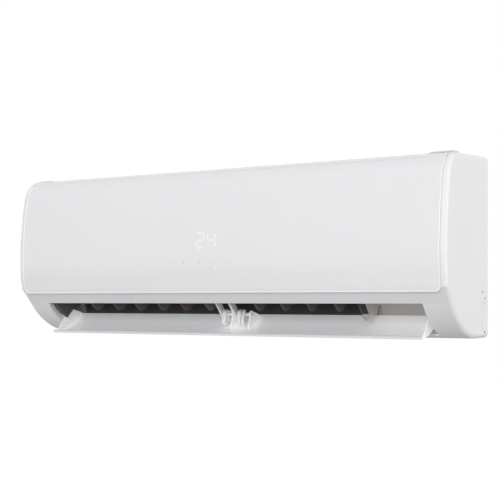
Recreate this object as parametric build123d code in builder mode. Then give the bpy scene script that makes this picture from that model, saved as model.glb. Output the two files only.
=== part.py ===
"""Mini split indoor unit, in millimetres.

+X is the viewer's right, +Y goes into the wall and +Z is up. The origin is the centre of the wall
plate's four screw holes, on the wall. Side views are drawn in (Y, height above the case's bottom).
"""

import os
from math import cos, radians, sin

from build123d import *

# Case
case_width = 805
case_depth = 194
case_height = 285
half_width = case_width / 2
shell = 2.5  # moulded wall of the case
case_back = -1.5  # rear edge of the case, just off the wall
flat_end = 138 - case_depth  # where the flat bottom turns up into the front curve
lip = (27 - case_depth, 55)  # lower edge of the chamfer, over the air outlet
panel_foot = (5.5 - case_depth, 78)  # upper edge of the chamfer, under the front panel
belly_height = 125  # height of the foremost line
brow = (12 - case_depth, case_height - 44)  # where the front turns back into the shoulder
crown = (46 - case_depth, case_height - 9.7)  # where the shoulder meets the top
end_radius = 7  # rounding of the case's ends
top_step = 2.2  # the top between the end caps lies lower by this
cap_inner = half_width - 40.5  # X of the end caps' inner edges
screw_height = 150  # height of the wall screws' centre above the case's bottom
fit = 0.3  # gap between pieces that only lie beside each other
bearing_gap = 0.08  # radial clearance of every small running pin
shaft_gap = 0.05  # radial clearance of the fan's and motor's shafts

# Wall plate
plate_thickness = 1
plate_width = 700
plate_bottom = 45
plate_top = case_height - 40
screw_spacing_x = 400
screw_spacing_z = 120
screw_hole_radius = 2.75
emboss = 5  # how far the plate's two long ribs stand out
hook_x = 190
hook_width = 30
hook_height = plate_top + 5
hook_reach = 15

# Front panel
cheek = 9.5  # width of the case that shows at each side of the panel
panel_half = half_width - cheek
panel_thickness = 3
panel_gap = 0.5
panel_corner = 6
panel_hinge = (43.5 - case_depth, case_height - 14.5)
panel_top = 45.5 - case_depth
hinge_pin_radius = 2
rail_front = panel_top + 3.5  # front edge of the rail behind the panel's top
latch_wall = 17.5 - case_depth
frame_screw_height = 84
button_at = (half_width - 102.5, 86)
button_radius = 3.5

# Top intake
intake_front = rail_front + 6.5
intake_rear = -24

# Air outlet and louver
outlet_half = half_width - 46
outlet_rear = 101 - case_depth
pivot = (81 - case_depth, 35.6)
open_angle = 57.3  # from shut to the rest pose
louver_half = outlet_half - 4.5
louver_wall = 2.2
louver_front = 28.5 - case_depth
louver_rear = 98 - case_depth
louver_pin_radius = 3
louver_flange = 2
bush_radius = 5
hub_length = 36

# Fan and its scroll
fan_centre = (108 - case_depth, 122)
fan_radius = 46
fan_left = -half_width + 64.5
fan_right = half_width - 159.5
blade_count = 22
blade_inner = 37
fan_sections = 4
disc_thickness = 1.6
shaft_radius = 4
scroll_wall = 2.5
scroll_radius = 55.7
end_wall = 2.5
duct_left = fan_left - 7
duct_right = fan_right + 7
floor_front = (106 - case_depth, 8.3)
rear_wall = -11.5
back_thickness = 2.5
shelf_height = 58

# Outlet roof, vanes and their link, in (down the roof, away from the roof)
roof_top = (61 - case_depth, 98)
roof_front = (31.4 - case_depth, 62.5)
roof_wall = 2.5
vane_seat = 30.5  # distance of the vanes' pivots down the roof
crank_x = duct_right - 18
vane_first = duct_left + 80
vane_pitch = (crank_x - 22 - vane_first) / 10
vane_left_count = 6
vane_right_count = 4  # after one pitch left free for the centre bracket
hub_x = vane_first + vane_left_count * vane_pitch - 1  # middle of the centre bracket's hub
vane_swing = 30
vane_thickness = 1.4
vane_stem_radius = 2
crank_radius = 17
crank_pin_radius = 1.2

# Coil
coil_thickness = 25
coil_left = fan_left + 8
coil_right = fan_right - 11
sheet_thickness = 1.2
tube_radius = 3.5
bend_radius = 6.25

# Motor and pipes
motor_radius = 38
motor_left = fan_right + 25
motor_length = 58
ring_thickness = 3
gas_radius = 6.35
liquid_radius = 3.175

# Drain pan
pan_left = duct_left + 1
plug_at = (41 - case_depth, 105)
plug_radius = 4
channel_left = duct_right + 19
channel_width = 16
channel_low = 68.5
channel_rear = rear_wall - 8.5
spigot = (channel_left + channel_width / 2, channel_rear - 8)
spigot_radius = 8
spigot_length = 26

# Filters
filter_depth = 12  # how far the filters lie behind the case's skin
filter_thickness = 3.5
guide_width = 8
guide_groove = 3

os.makedirs("parts", exist_ok=True)


def side(x):
    """Side view plane at X = x, in (Y, height above the case's bottom)."""
    return Plane(origin=(x, 0, -screw_height), x_dir=(0, 1, 0), z_dir=(1, 0, 0))


def level(height):
    """Plan view plane at a height above the case's bottom, in (X, Y)."""
    return Plane.XY.offset(height - screw_height)


def front(y):
    """Front view plane at Y = y, facing the viewer, in (X, height above the case's bottom)."""
    return Plane(origin=(0, y, -screw_height), x_dir=(1, 0, 0), z_dir=(0, -1, 0))


def save(part, name):
    """Label a finished piece and write it as parts/name.step."""
    part.label = name
    export_step(part, f"parts/{name}.step")


def case_outline(inset=0.0):
    """Filled outline of the case in side view coordinates, drawn in by inset all round."""
    with BuildSketch() as face:
        with BuildLine():
            Line((case_back, 0), (flat_end, 0))
            TangentArc((flat_end, 0), lip, tangent=(-1, 0))
            Line(lip, panel_foot)
            TangentArc((-case_depth, belly_height), panel_foot, tangent=(0, -1))
            upper = TangentArc((-case_depth, belly_height), brow, tangent=(0, 1))
            TangentArc(brow, crown, tangent=upper % 1)
            Line(crown, (case_back, case_height))
            Line((case_back, case_height), (case_back, 0))
        make_face()
        if inset:
            offset(amount=-inset, kind=Kind.INTERSECTION)
    return face.sketch


def case_face(x, inset=0.0):
    """The case's outline as a face at X = x."""
    with BuildSketch(side(x)) as face:
        add(case_outline(inset))
    return face.sketch


def skin_face(x, outer, inner, rear, low, high=400.0, far=-400.0):
    """Band under the case's skin between two insets, in front of rear and between two heights."""
    with BuildSketch(side(x)) as face:
        add(case_outline(outer))
        add(case_outline(inner), mode=Mode.SUBTRACT)
        with BuildLine():
            Polyline((far, low), (rear, low), (rear, high), (far, high), close=True)
        make_face(mode=Mode.INTERSECT)
    return face.sketch


def inside(*points):
    """Side view points given as distances behind the case's foremost line and heights."""
    return [(behind - case_depth, height) for behind, height in points]


def outline_face(x, *points):
    """Face at X = x from a side view's corner points."""
    with BuildSketch(side(x)) as face:
        with BuildLine():
            Polyline(*points, close=True)
        make_face()
    return face.sketch


def disc_face(x, centre, radius, bore=0.0):
    """Round face at X = x, with a bore if one is given."""
    with BuildSketch(side(x)) as face:
        with Locations(centre):
            Circle(radius)
            if bore:
                Circle(bore, mode=Mode.SUBTRACT)
    return face.sketch


# The front frame is the case: both ends with their rounded edges, the chamfer over the outlet, the
# outlet's cheeks, the top with its lower middle, and the guides that the filters slide in.
cavity_end = half_width - shell
guide_lefts = (coil_left - 16, (coil_left + coil_right) / 2 - 5, coil_right + 6)
screw_places = (duct_left - end_wall - 3.5, duct_right + end_wall + 3.5)
with BuildPart() as front_frame:
    extrude(case_face(-half_width), amount=case_width)
    ends = front_frame.faces().filter_by(Axis.X)
    rims = ends.edges().filter_by(lambda e: abs(e.center().Y - case_back) > 1)
    fillet(rims, radius=end_radius)
    with BuildSketch(side(-cavity_end)):
        add(case_outline(shell))
        with Locations((10, case_height - 5)):
            Rectangle(case_depth - 34, 60, align=(Align.MAX, Align.MAX), mode=Mode.SUBTRACT)
        add(case_outline(shell + top_step))
        with Locations((-15, case_height / 2)):
            Rectangle(60, case_height - 4 * shell)
    extrude(amount=2 * cavity_end, mode=Mode.SUBTRACT)
    # lower top between the end caps
    extrude(skin_face(-cap_inner, 0, top_step, 10, case_height - 35, far=crown[0] - 3),
            amount=2 * cap_inner, mode=Mode.SUBTRACT)
    # front opening behind the panel, and the intake opening in the top
    with BuildSketch(side(-panel_half - panel_gap)):
        with Locations((rail_front, panel_foot[1] + 1)):
            Rectangle(case_depth, case_height, align=(Align.MAX, Align.MIN))
    extrude(amount=2 * (panel_half + panel_gap), mode=Mode.SUBTRACT)
    with BuildSketch(level(case_height - 85)):
        with Locations((0, intake_rear)):
            Rectangle(2 * outlet_half, intake_rear - intake_front, align=(Align.CENTER, Align.MAX))
    extrude(amount=120, mode=Mode.SUBTRACT)
    # air outlet
    with BuildSketch(level(-5)):
        with Locations((0, outlet_rear)):
            Rectangle(2 * outlet_half, outlet_rear - lip[0] - 1, align=(Align.CENTER, Align.MAX))
    extrude(amount=lip[1] + 8, mode=Mode.SUBTRACT)
    # lips along the outlet's cheeks, with the ears that carry the louver
    for edge, outward in ((-outlet_half, -1), (outlet_half, 1)):
        extrude(skin_face(edge, 0.6, 9, outlet_rear - 0.5, 2, lip[1] + 2),
                amount=outward * shell)
        with BuildSketch(side(edge)):
            with Locations(pivot):
                Circle(10)
            with BuildLine():
                Polyline((pivot[0] - 9, pivot[1] + 4), (pivot[0] + 9, pivot[1] - 4),
                         (pivot[0] - 6, pivot[1] - 19), (pivot[0] - 24, pivot[1] - 8), close=True)
            make_face()
        extrude(amount=outward * shell)
    with BuildSketch(side(-half_width + 20)):
        with Locations(pivot):
            Circle(bush_radius + shaft_gap)
    extrude(amount=case_width - 40, mode=Mode.SUBTRACT)
    # rail that the panel's foot shuts against, and the wall that holds the button
    with BuildSketch(side(-cavity_end)):
        with BuildLine():
            Polyline(*inside((7, 76.4), (7, 79), (15, 79), (15, 94)), (latch_wall, 94),
                     (latch_wall, 70), *inside((15, 70), (15, 76.4)), close=True)
        make_face()
    extrude(amount=2 * cavity_end)
    # filter guides
    for left in guide_lefts:
        extrude(skin_face(left, filter_depth - 3.5, filter_depth + 7, 96 - case_depth, 92),
                amount=guide_width)
        extrude(skin_face(left, shell, filter_depth + 7, intake_front - 0.5, case_height - 45,
                          far=rail_front), amount=guide_width)
    grooves = ((guide_lefts[0] + guide_width, -1), (guide_lefts[1], 1),
               (guide_lefts[1] + guide_width, -1), (guide_lefts[2], 1))
    for edge, inward in grooves:
        extrude(skin_face(edge, filter_depth - 0.4, filter_depth + filter_thickness + 0.4,
                          104 - case_depth, 80),
                amount=inward * guide_groove, mode=Mode.SUBTRACT)
    # bearings of the panel's hinge
    for wall, inward in ((-cavity_end - 1, 1), (cavity_end + 1, -1)):
        extrude(disc_face(wall, panel_hinge, hinge_pin_radius + 2), amount=inward * 7)
        extrude(disc_face(wall, panel_hinge, hinge_pin_radius + bearing_gap),
                amount=inward * 8, mode=Mode.SUBTRACT)
    # hole for the emergency button
    with BuildSketch(front(latch_wall + 1)):
        with Locations(button_at):
            Circle(button_radius + bearing_gap)
    extrude(amount=6, mode=Mode.SUBTRACT)
    # holes of the frame's screws
    with BuildSketch(front(latch_wall + 1)):
        with Locations(*[(x, frame_screw_height) for x in screw_places]):
            Circle(2)
    extrude(amount=6, mode=Mode.SUBTRACT)
    # knock-out scores and the small holes in both side walls, low at the back
    for wall, inward in ((-half_width, 1), (half_width, -1)):
        with BuildSketch(side(wall)):
            with Locations((case_back, 12.6)):
                Rectangle(27.4, 43.5, align=(Align.MAX, Align.MIN))
                Rectangle(26.6, 42.7, align=(Align.MAX, Align.MIN), mode=Mode.SUBTRACT)
        extrude(amount=inward * 0.5, mode=Mode.SUBTRACT)
        with BuildSketch(side(wall)):
            with Locations((-27.4, 72), (-15.9, 61.5), (-16.9, 9)):
                Circle(1)
        extrude(amount=inward * 2 * shell, mode=Mode.SUBTRACT)
save(front_frame.part, "front_frame")

# The front panel is one bowed moulding that hangs on two pins at its top, with a rim behind it.
with BuildPart() as front_panel:
    panel_low = panel_foot[1] + 1 + panel_gap
    extrude(skin_face(-panel_half, 0, panel_thickness, panel_top, panel_low), amount=2 * panel_half)
    corners = front_panel.edges().filter_by(lambda e: e.length < 1.3 * panel_thickness)
    corners = corners.filter_by(lambda e: e.center().Z < panel_low + 1 - screw_height)
    fillet(corners.filter_by(lambda e: abs(e.center().X) > panel_half - 1), radius=panel_corner)
    for rim in (-panel_half + 3, panel_half - 3 - 2):
        extrude(skin_face(rim, panel_thickness - 1, panel_thickness + 4, 29 - case_depth,
                          panel_low + 8),
                amount=2)
    for arm, outward in ((-panel_half + 2, -1), (panel_half - 2, 1)):
        with BuildSketch(side(arm)):
            with BuildLine():
                Polyline(panel_hinge, *[(panel_hinge[0] + dy, panel_hinge[1] + dz) for dy, dz in
                                        ((-1.7, 2.7), (-17.5, -8.5), (-15.5, -12.5))], close=True)
            make_face()
            with Locations(panel_hinge):
                Circle(hinge_pin_radius + 0.8)
        extrude(amount=-outward * 3)
        extrude(disc_face(arm, panel_hinge, hinge_pin_radius), amount=outward * 6.5)
save(front_panel.part, "front_panel")

# The top grille fills the intake opening with slats along X and cross ribs.
grille_gap = 0.4
grille_bays = 9
grille_rows = 7
slat_width = 4
with BuildPart() as top_grille:
    grille_half = outlet_half - grille_gap
    extrude(skin_face(-grille_half, top_step, top_step + 3, intake_rear - grille_gap,
                      case_height - 45, far=intake_front + grille_gap), amount=2 * grille_half)
    bay = (2 * grille_half - slat_width) / grille_bays
    row = (intake_rear - intake_front - 2 * grille_gap - slat_width) / grille_rows
    with BuildSketch(level(case_height - 85)):
        with Locations((0, (intake_front + intake_rear) / 2)):
            with GridLocations(bay, row, grille_bays, grille_rows):
                Rectangle(bay - slat_width, row - slat_width)
    extrude(amount=120, mode=Mode.SUBTRACT)
save(top_grille.part, "top_grille")

# Each air filter is a bowed frame with ribs and a fine net, which slides in two guides.
filter_rear = 124 - case_depth
for name, left in (("filter_left", guide_lefts[0] + guide_width - guide_groove),
                   ("filter_right", guide_lefts[1] + guide_width - guide_groove)):
    next_guide = guide_lefts[1] if name == "filter_left" else guide_lefts[2]
    start = left + fit
    width = next_guide + guide_groove - fit - start
    net_depth = filter_depth + filter_thickness / 2 - 0.3
    with BuildPart() as air_filter:
        extrude(skin_face(start, net_depth, net_depth + 0.6, filter_rear, 96), amount=width)
        rib_count = 4
        for index in range(rib_count):
            rib_x = start + index * (width - 4) / (rib_count - 1)
            extrude(skin_face(rib_x, filter_depth, filter_depth + filter_thickness, filter_rear,
                              96), amount=4)
        for share in (0, 0.5, 1):
            low = 96 + share * (case_height - 153)
            extrude(skin_face(start, filter_depth + 0.2, filter_depth + filter_thickness - 0.2,
                              94 - case_depth, low, low + 4), amount=width)
        extrude(skin_face(start, filter_depth + 0.2, filter_depth + filter_thickness - 0.2,
                          filter_rear - 0.2, case_height - 45, far=filter_rear - 4), amount=width)
    save(air_filter.part, name)

# The wall plate is stamped steel with two long embossed ribs and two hooks for the chassis.
with BuildPart() as wall_plate:
    rib_front = -plate_thickness - emboss
    steps = [(-plate_thickness, plate_bottom)]
    for rib_low in (plate_bottom + 63, plate_bottom + 118):
        steps += [(-plate_thickness, rib_low), (rib_front, rib_low + 4),
                  (rib_front, rib_low + 22), (-plate_thickness, rib_low + 26)]
    steps += [(-plate_thickness, plate_top)]
    back_steps = [(y + plate_thickness, z) for y, z in reversed(steps)]
    extrude(outline_face(-plate_width / 2, *steps, *back_steps), amount=plate_width)
    with BuildSketch(front(0)):
        with Locations((0, screw_height)):
            with GridLocations(screw_spacing_x, screw_spacing_z, 2, 2):
                Circle(screw_hole_radius)
        with Locations((-plate_width / 2, plate_bottom), (plate_width / 2, plate_bottom)):
            Circle(32)
        with Locations((0, plate_bottom + 45), (0, plate_top - 21)):
            SlotOverall(60, 10)
    extrude(amount=2 * plate_thickness, mode=Mode.SUBTRACT)
    for x in (-hook_x, hook_x):
        foot = hook_height
        reach = -plate_thickness - hook_reach
        with BuildSketch(side(x - hook_width / 2)):
            with BuildLine():
                Polyline((0, plate_top - 2), (0, foot + 1.2), (reach + 1.2, foot + 1.2),
                         (reach + 1.2, foot + 8), (reach, foot + 8), (reach, foot),
                         (-plate_thickness, foot), (-plate_thickness, plate_top - 2), close=True)
            make_face()
        extrude(amount=hook_width)
save(wall_plate.part, "wall_plate")

# The coil is three finned slabs round the fan. The gas and liquid pipes leave the rear slab.
slabs = (("coil_front_lower", (42 - case_depth, 104), 90, case_height - 201),
         ("coil_front_upper", (47 - case_depth, case_height - 89), 46.7, 60),
         ("coil_rear", (110 - case_depth, case_height - 35), -54.5, case_height - 199))


def slab_point(slab, along, across=0.0):
    """Side view point in a slab, from its start along its centre line and across it."""
    _, start, angle, _ = slab
    run = (cos(radians(angle)), sin(radians(angle)))
    return (start[0] + along * run[0] - across * run[1], start[1] + along * run[1] + across * run[0])


def slab_corners(slab, extra=0.0):
    """Corners of a slab's section, grown by extra all round."""
    half = coil_thickness / 2 + extra
    end = slab[3] + extra
    return [slab_point(slab, along, across) for along, across in
            ((-extra, -half), (end, -half), (end, half), (-extra, half))]


rear_slab = slabs[2]
gas_start = slab_point(rear_slab, rear_slab[3] - 7.2)
liquid_start = slab_point(rear_slab, rear_slab[3] - 25.8)

# The chassis is the rear moulding: back wall, scroll behind the fan, shelf over the pipe channel,
# both end walls of the fan's space, the cover beside the outlet and the motor's cradle.
drop = radians(-29.7)  # direction in which the straight outlet floor leaves the scroll


def around_fan(radius, angle):
    """Side view point at a radius and an angle from the fan's centre."""
    return (fan_centre[0] + radius * cos(angle), fan_centre[1] + radius * sin(angle))


bearing_outer = 11
scroll_turns = ((51, radians(35)), (53.5, 0), (scroll_radius, drop))
partition_outline = (
    (rear_wall, shelf_height), (rear_wall, case_height - 29),
    *inside((94, case_height - 29), (54, case_height - 37), (34, case_height - 57),
            (26, case_height - 90), (23, 150), (23, 114.5), (61.4, 114.5), (61.4, 95.2), (33.6, 62.1),
            (36, 52), (51, 36), (66, 27.5), (82, 41.5), (110, 54), (131, 50), (139, shelf_height)))
motor_outer = motor_radius + ring_thickness
with BuildPart() as chassis:
    back_left = -half_width + 12.5
    extrude(outline_face(back_left, (rear_wall + back_thickness, shelf_height),
                         (rear_wall + back_thickness, case_height - 23),
                         (rear_wall, case_height - 23), (rear_wall, shelf_height)),
            amount=-2 * back_left)
    with BuildSketch(side(duct_left)):
        floor_back = (floor_front[0] + scroll_wall * cos(drop), floor_front[1] + scroll_wall * sin(drop))
        inner = [around_fan(radius, angle) for radius, angle in scroll_turns]
        outer = [around_fan(radius + scroll_wall, angle) for radius, angle in scroll_turns]
        with BuildLine():
            ThreePointArc(*inner)
            Polyline(inner[-1], floor_front, floor_back, outer[-1])
            ThreePointArc(*outer)
            Line(inner[0], outer[0])
        make_face()
    extrude(amount=duct_right - duct_left)
    extrude(outline_face(back_left, (rear_wall + 1, shelf_height),
                         (rear_wall + 1, shelf_height + 2.5),
                         *inside((138, shelf_height + 2.5), (137, shelf_height))),
            amount=duct_right - back_left)
    for wall in (duct_left - end_wall, duct_right):
        with BuildSketch(side(wall)):
            with BuildLine():
                Polyline(*partition_outline, close=True)
            make_face()
            with Locations(fan_centre):
                Circle(shaft_radius + 4, mode=Mode.SUBTRACT)
            if wall == duct_right:
                for (y, height), radius in ((gas_start, gas_radius), (liquid_start, liquid_radius)):
                    with Locations((y, height - 3)):
                        SlotCenterToCenter(6, 2 * (radius + fit), rotation=90, mode=Mode.SUBTRACT)
        extrude(amount=end_wall)
    # seat of the fan's bearing
    extrude(disc_face(duct_left - end_wall - 11, fan_centre, bearing_outer + 3,
                      bearing_outer + shaft_gap), amount=11)
    # ribs between the back wall and the scroll
    rib_count = 7
    for index in range(rib_count):
        rib_x = duct_left + 55 + index * (duct_right - duct_left - 67) / (rib_count - 1)
        extrude(outline_face(rib_x, (rear_wall, shelf_height), (rear_wall, 150),
                             *[(fan_centre[0] + dy, fan_centre[1] + dz) for dy, dz in
                               ((52.5, 28), (56.4, 0), (51.5, -28), (32, -62))]), amount=2.5)
    # cover of the space right of the duct, behind the louver's end
    extrude(outline_face(duct_right + end_wall,
                         *inside((34, 61.5), (94, 65), (118, 50), (123, 37), (111.5, 8.6), (114, 8.6),
                                 (125.6, 37), (120.2, 51.6), (94.7, 67.6), (34, 64))),
            amount=outlet_half - duct_right - end_wall - 3)
    extrude(outline_face(outlet_half - 6, *inside((125, 34), (144, shelf_height)),
                         (rear_wall + 1, shelf_height), (rear_wall + 1, 67),
                         *inside((96, 67), (121, 51.5))), amount=3)
    # bosses of the frame's screws, on the outer faces of both end walls
    for x in screw_places:
        with BuildSketch(front(latch_wall + fit)):
            with Locations((x, frame_screw_height)):
                Circle(4)
        extrude(amount=-48)
        with BuildSketch(front(latch_wall)):
            with Locations((x, frame_screw_height)):
                Circle(1.5)
        extrude(amount=-20, mode=Mode.SUBTRACT)
    # cradle of the motor
    for saddle_x in (motor_left + 19, motor_left + motor_length - 5):
        with BuildSketch(side(saddle_x)):
            with BuildLine():
                Polyline((rear_wall, 76), (rear_wall, 166), (fan_centre[0] + 26, 166),
                         (fan_centre[0], 150), (fan_centre[0], 81), (fan_centre[0] + 26, 76),
                         close=True)
            make_face()
            with Locations(fan_centre):
                Circle(motor_outer + shaft_gap, mode=Mode.SUBTRACT)
        extrude(amount=3)
    # slots that the wall plate's hooks catch in
    for x in (-hook_x, hook_x):
        with BuildSketch(front(rear_wall + 4)):
            with Locations((x, hook_height + 1.2 + fit)):
                Rectangle(hook_width + 8, 11, align=(Align.CENTER, Align.MAX))
        extrude(amount=8, mode=Mode.SUBTRACT)
save(chassis.part, "chassis")

# The drain pan is one moulding: the trough under the front coil, the outlet's roof that the vanes
# turn in, and a channel that leads the water back under the motor to the drain spigot.
roof_run = Vector(roof_front[0] - roof_top[0], roof_front[1] - roof_top[1]).normalized()
down_roof = (roof_run.X, roof_run.Y)
off_roof = (-roof_run.Y, roof_run.X)


def roof_point(down, off):
    """Side view point from distances down the roof's underside and away from it into the duct."""
    return (roof_top[0] + down * down_roof[0] + off * off_roof[0],
            roof_top[1] + down * down_roof[1] + off * off_roof[1])


roof_length = (Vector(*roof_front) - Vector(*roof_top)).length
roof_origin = roof_point(vane_seat, 0)


def roof_plane(x, off=0.0):
    """Plane in the roof at a vane's pivot: local X is along the case, local Y is up the roof."""
    y, z = roof_point(vane_seat, off)
    return Plane(origin=(x, y, z - screw_height), x_dir=(1, 0, 0),
                 z_dir=(0, -off_roof[0], -off_roof[1]))


vane_steps = [*range(vane_left_count),
              *range(vane_left_count + 1, vane_left_count + 1 + vane_right_count)]
vane_places = [vane_first + step * vane_pitch for step in vane_steps]
with BuildPart() as drain_pan:
    extrude(outline_face(pan_left, *inside((22, 96), (22, 112), (24, 112), (24, 98.5), (57, 98.5),
                                           (57, 112), (59.5, 112), (59.5, 96))),
            amount=channel_left + channel_width - pan_left)
    extrude(outline_face(pan_left, *inside((59.5, 98.5)), roof_point(0, 0),
                         roof_point(roof_length, 0), roof_point(roof_length, -roof_wall),
                         roof_point(4, -roof_wall), *inside((54, 98))),
            amount=duct_right - fit - pan_left)
    for end in (pan_left, channel_left + channel_width - 2):
        extrude(outline_face(end, *inside((22, 96), (22, 112), (59.5, 112), (59.5, 96))), amount=2)
    # outlet for the plug at the left end
    extrude(disc_face(pan_left - 1, plug_at, plug_radius + shaft_gap), amount=4, mode=Mode.SUBTRACT)
    # ribs that the front coil stands on
    rib_count = 10
    for index in range(rib_count):
        rib_x = coil_left + 10 + index * (coil_right - coil_left - 22) / (rib_count - 1)
        extrude(outline_face(rib_x, *inside((29, 98), (29, 104), (55, 104), (55, 98))), amount=2)
    # drop and channel back to the spigot
    channel_front = 22 - case_depth
    for y, run, rise in ((channel_rear, channel_rear - channel_front, 11.5),
                         (59.5 - case_depth, 37.5, 30)):
        with BuildSketch(level(channel_low)):
            with Locations((channel_left, y)):
                Rectangle(channel_width, run, align=(Align.MIN, Align.MAX))
        extrude(amount=rise)
    for y, run, rise in ((channel_rear - 2, channel_rear - channel_front - 4, 12),
                         (56 - case_depth, 32, 40)):
        with BuildSketch(level(channel_low + 2)):
            with Locations((channel_left + 2, y)):
                Rectangle(channel_width - 4, run, align=(Align.MIN, Align.MAX))
        extrude(amount=rise, mode=Mode.SUBTRACT)
    with BuildSketch(level(channel_low + 1)):
        with Locations(spigot):
            Circle(spigot_radius)
    extrude(amount=-spigot_length - 1)
    with BuildSketch(level(channel_low + 3)):
        with Locations(spigot):
            Circle(spigot_radius - 2)
    extrude(amount=-spigot_length - 10, mode=Mode.SUBTRACT)
    # bearings of the vanes and of the swing motor's crank
    for x in (*vane_places, crank_x):
        with BuildSketch(roof_plane(x, 1)):
            Circle(vane_stem_radius + bearing_gap)
        extrude(amount=roof_wall + 3, mode=Mode.SUBTRACT)
save(drain_pan.part, "drain_pan")

# Each vane is a thin fin with a rounded tip. Its stem turns in the roof, and an arm upstream of it
# carries the pin that the link bar moves.
link_off = 6  # distance of the link bar from the roof
link_thickness = 2


def vane_arm(x):
    """Stem, arm and crank pin, which the vanes and the swing motor's crank share."""
    with BuildPart() as arm:
        with BuildSketch(roof_plane(x, 0.5)):
            Circle(vane_stem_radius)
        extrude(amount=roof_wall + 1.5)
        with BuildSketch(roof_plane(x, 0.5)):
            with Locations((0, crank_radius / 2)):
                Rectangle(5, crank_radius + 5)
        extrude(amount=-2)
        with BuildSketch(roof_plane(x, 2.4)):
            with Locations((0, crank_radius)):
                Circle(crank_pin_radius)
        extrude(amount=-(link_off + link_thickness + 1 - 2.4))
    return arm.part


fin_low = 40
fin_front = 20
fin_rear = -9
for index, x in enumerate(vane_places, start=1):
    with BuildPart() as vane:
        add(vane_arm(x))
        with BuildSketch(side(x - vane_thickness / 2)):
            with BuildLine():
                Polyline(roof_point(vane_seat + fin_rear, 2.2), roof_point(vane_seat + fin_rear, fin_low),
                         roof_point(vane_seat + fin_front, fin_low),
                         roof_point(vane_seat + fin_front, 2.2), close=True)
            make_face()
            tips = vertices().sort_by(lambda v: v.Y)
            fillet(tips[0], radius=20)
            fillet(vertices().sort_by(lambda v: -v.X)[0], radius=6)
        extrude(amount=vane_thickness)
    save(vane.part, f"vane_{index:02d}")

# The crank of the swing motor has the same arm, with a hub round the motor's shaft.
with BuildPart() as swing_crank:
    add(vane_arm(crank_x))
save(swing_crank.part, "swing_crank")

# The link bar joins all crank pins, each in a slot that lets the pin follow its arc.
with BuildPart() as vane_link:
    slot_reach = crank_radius * (1 - cos(radians(vane_swing)))
    with BuildSketch(roof_plane((vane_first + crank_x) / 2, link_off)):
        with Locations((0, crank_radius - slot_reach / 2)):
            Rectangle(crank_x - vane_first + 10, 9)
        for x in (*vane_places, crank_x):
            with Locations((x - (vane_first + crank_x) / 2, crank_radius - slot_reach / 2)):
                Rectangle(2 * crank_pin_radius + 1.1, 2 * crank_pin_radius + slot_reach + 0.6,
                          mode=Mode.SUBTRACT)
    extrude(amount=-link_thickness)
save(vane_link.part, "vane_link")

# The swing motor is a small can on the roof's upper side, over its crank.
with BuildPart() as swing_motor:
    with BuildSketch(roof_plane(crank_x, -roof_wall)):
        Circle(10)
        SlotCenterToCenter(24, 6)
        Circle(vane_stem_radius + bearing_gap, mode=Mode.SUBTRACT)
    extrude(amount=2)
    with BuildSketch(roof_plane(crank_x, -roof_wall - 2)):
        Circle(10)
    extrude(amount=11)
save(swing_motor.part, "swing_motor")

# The louver is a curved blade that shuts flush with the case, drawn shut and turned open. Flanges
# at its ends and lugs in the middle stand up to its pivot.
turn = radians(open_angle)


def louver_plane(x):
    """Plane at X = x whose local axes are the side view's, turned with the open louver."""
    return Plane(origin=(x, pivot[0], pivot[1] - screw_height), x_dir=(0, cos(turn), sin(turn)),
                 z_dir=(1, 0, 0))


def louver_band(x, outer, inner, rear, far):
    """Band of the shut louver between two insets, as a face on the open louver's plane."""
    with BuildSketch(louver_plane(x)) as face:
        with Locations((-pivot[0], -pivot[1])):
            add(case_outline(outer))
            add(case_outline(inner), mode=Mode.SUBTRACT)
        with Locations((far - pivot[0], -80)):
            Rectangle(rear - far, 103, align=(Align.MIN, Align.MIN), mode=Mode.INTERSECT)
    return face.sketch


with BuildPart() as louver:
    extrude(louver_band(-louver_half, 0, louver_wall, louver_rear, louver_front),
            amount=2 * louver_half)
    lug_places = (-louver_half, louver_half - louver_flange, hub_x - hub_length / 2,
                  hub_x + hub_length / 2 - 2)
    for lug_x in lug_places:
        wide = abs(lug_x) > 100
        with BuildSketch(louver_plane(lug_x)):
            Circle(8 if wide else 6)
            with BuildLine():
                if wide:
                    Polyline((-46, 13), (-6, 7), (8, 2), (18, -25), (18, -36), (-46, -10),
                             close=True)
                else:
                    Polyline((-24, -4), (-6, 2), (6, 0), (14, -24), (14, -36), (-24, -20),
                             close=True)
            make_face()
            with Locations((-pivot[0], -pivot[1])):
                add(case_outline(1), mode=Mode.INTERSECT)
            if not lug_x == -louver_half:
                Circle(louver_pin_radius + bearing_gap, mode=Mode.SUBTRACT)
        extrude(amount=louver_flange)
    with BuildSketch(louver_plane(-louver_half + 1)):
        Circle(louver_pin_radius)
    extrude(amount=-8)
save(louver.part, "louver")

# Shaft of the louver's stepper motor, seated in the right flange and turning with the louver.
louver_motor_x = outlet_half + shell
with BuildPart() as louver_shaft:
    extrude(disc_face(louver_half - louver_flange - 1, pivot, louver_pin_radius), amount=22)
save(louver_shaft.part, "louver_shaft")

# Stepper motor of the louver: a flat can with two ears, off its shaft's centre, and a front boss.
with BuildPart() as louver_motor:
    can_centre = (pivot[0], pivot[1] + 8)
    with BuildSketch(side(louver_motor_x + 1.5)):
        with Locations(can_centre):
            Circle(14)
            SlotCenterToCenter(35, 7)
    extrude(amount=1)
    with BuildSketch(side(louver_motor_x + 2.5)):
        with Locations(can_centre):
            Circle(14)
    extrude(amount=18)
    extrude(disc_face(louver_motor_x + fit, pivot, 4.9), amount=2)
    extrude(disc_face(louver_motor_x, pivot, louver_pin_radius + bearing_gap),
            amount=16, mode=Mode.SUBTRACT)
save(louver_motor.part, "louver_motor")

# Bush of the louver's left pin.
with BuildPart() as louver_bush:
    extrude(disc_face(-outlet_half, pivot, bush_radius, louver_pin_radius + bearing_gap),
            amount=-shell)
save(louver_bush.part, "louver_bush")

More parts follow.
